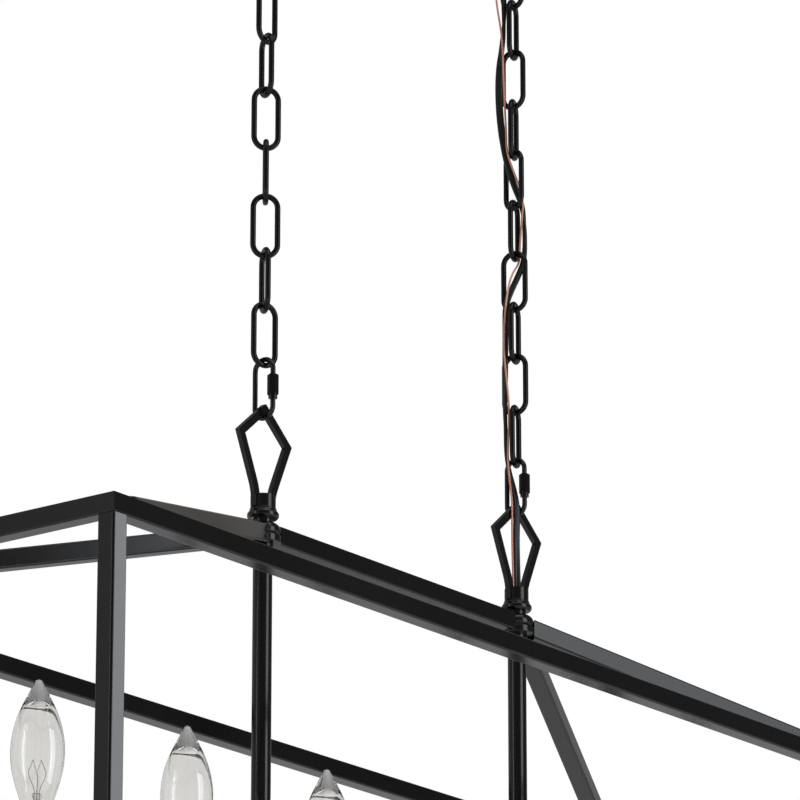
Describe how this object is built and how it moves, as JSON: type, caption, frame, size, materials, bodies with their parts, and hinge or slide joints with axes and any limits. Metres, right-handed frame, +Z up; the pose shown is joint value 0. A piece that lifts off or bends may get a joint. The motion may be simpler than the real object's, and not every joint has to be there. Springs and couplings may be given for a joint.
{
  "type": "linear island pendant light",
  "caption": "Long open-frame lantern of square tube with candle bulbs on a bar, hung by chains, quick links and kite-shaped loops from a ceiling canopy.",
  "frame": {"origin": "on the ceiling, at the middle of the bracket's line of two slots", "axes": "+Z up towards the ceiling, +X along the lantern towards the chain with the supply cord, +Y across the lantern, away from the side of the quick links' sleeve nuts"},
  "size_m": [0.94, 0.305, 1.0075],
  "materials": {
    "black_metal": "satin black powder coat",
    "bulb_glass": "clear",
    "bulb_brass": "rolled",
    "black_sleeve": "satin",
    "socket_plastic": "moulded",
    "lamp_wire": "smooth",
    "zinc_steel": "zinc plated",
    "black_cord": "semi-gloss flexible",
    "ground_copper": "stranded copper in a clear jacket"
  },
  "bodies": {
    "ceiling_mount": {"canopy": "black_metal", "mounting_bracket": "zinc_steel", "bracket_studs": "zinc_steel", "canopy_cap_nuts": "black_metal", "canopy_rings": "black_metal", "ring_lock_nuts": "zinc_steel"},
    "top_links": {"chain_top_links": "black_metal"},
    "right_hanger": {"right_chain": "black_metal", "right_quick_link": "black_metal", "lower_supply_cord": "black_cord", "upper_supply_cord": "black_cord", "lower_ground_wire": "ground_copper", "upper_ground_wire": "ground_copper"},
    "fixture": {"front_top_rail": "black_metal", "rear_top_rail": "black_metal", "left_top_rail": "black_metal", "right_top_rail": "black_metal", "front_bottom_rail": "black_metal", "rear_bottom_rail": "black_metal", "left_bottom_rail": "black_metal", "right_bottom_rail": "black_metal", "front_left_post": "black_metal", "front_right_post": "black_metal", "rear_left_post": "black_metal", "rear_right_post": "black_metal", "front_left_roof_bar": "black_metal", "front_right_roof_bar": "black_metal", "rear_left_roof_bar": "black_metal", "rear_right_roof_bar": "black_metal", "ridge_bar": "black_metal", "left_hub": "black_metal", "right_hub": "black_metal", "left_stem": "black_metal", "right_stem": "black_metal", "left_hanging_loop": "black_metal", "right_hanging_loop": "black_metal", "light_bar": "black_metal", "stem_seat_rings": "black_metal", "light_bar_end_caps": "black_metal", "stem_finials": "black_metal", "candle_cups": "black_metal", "candle_sleeves": "black_sleeve", "lamp_sockets": "socket_plastic", "lamp_wires": "lamp_wire"},
    "left_hanger": {"left_chain": "black_metal", "left_quick_link": "black_metal"},
    "right_link_nut": {"right_sleeve_nut": "black_metal"},
    "left_link_nut": {"left_sleeve_nut": "black_metal"},
    "bulb_1": {"bulb_1_glass": "bulb_glass", "bulb_1_base": "bulb_brass"},
    "bulb_2": {"bulb_2_glass": "bulb_glass", "bulb_2_base": "bulb_brass"},
    "bulb_3": {"bulb_3_glass": "bulb_glass", "bulb_3_base": "bulb_brass"},
    "bulb_4": {"bulb_4_glass": "bulb_glass", "bulb_4_base": "bulb_brass"},
    "bulb_5": {"bulb_5_glass": "bulb_glass", "bulb_5_base": "bulb_brass"},
    "bulb_6": {"bulb_6_glass": "bulb_glass", "bulb_6_base": "bulb_brass"}
  },
  "joints": [
    {"name": "side_sway", "type": "hinge", "parent": "ceiling_mount", "child": "top_links", "pos_m": [0, 0, -0.0575], "axis": [1, 0, 0], "range_deg": [-12, 12], "deforming": ["upper_supply_cord", "upper_ground_wire"]},
    {"name": "end_sway", "type": "hinge", "parent": "top_links", "child": "right_hanger", "pos_m": [0.14, 0, -0.0947], "axis": [0, 1, 0], "range_deg": [-12, 12]},
    {"name": "fixture_level", "type": "hinge", "parent": "right_hanger", "child": "fixture", "pos_m": [0.14, 0, -0.5467], "axis": [0, 1, 0], "range_deg": [-12, 12], "deforming": ["lower_supply_cord", "lower_ground_wire"]},
    {"name": "left_hanger_swing", "type": "hinge", "parent": "fixture", "child": "left_hanger", "pos_m": [-0.14, 0, -0.5467], "axis": [0, 1, 0], "range_deg": [-12, 12]},
    {"name": "right_link_nut_up", "type": "slide", "parent": "right_hanger", "child": "right_link_nut", "axis": [0, 0, 1], "range_m": [0, 0.004]},
    {"name": "left_link_nut_up", "type": "slide", "parent": "left_hanger", "child": "left_link_nut", "axis": [0, 0, 1], "range_m": [0, 0.004]},
    {"name": "bulb_1_out", "type": "slide", "parent": "fixture", "child": "bulb_1", "axis": [0, 0, 1], "range_m": [0, 0.025]},
    {"name": "bulb_2_out", "type": "slide", "parent": "fixture", "child": "bulb_2", "axis": [0, 0, 1], "range_m": [0, 0.025]},
    {"name": "bulb_3_out", "type": "slide", "parent": "fixture", "child": "bulb_3", "axis": [0, 0, 1], "range_m": [0, 0.025]},
    {"name": "bulb_4_out", "type": "slide", "parent": "fixture", "child": "bulb_4", "axis": [0, 0, 1], "range_m": [0, 0.025]},
    {"name": "bulb_5_out", "type": "slide", "parent": "fixture", "child": "bulb_5", "axis": [0, 0, 1], "range_m": [0, 0.025]},
    {"name": "bulb_6_out", "type": "slide", "parent": "fixture", "child": "bulb_6", "axis": [0, 0, 1], "range_m": [0, 0.025]}
  ],
  "couplings": [
    {"joint": "fixture_level", "follows": "end_sway", "ratio": -1},
    {"joint": "left_hanger_swing", "follows": "end_sway", "ratio": 1}
  ]
}
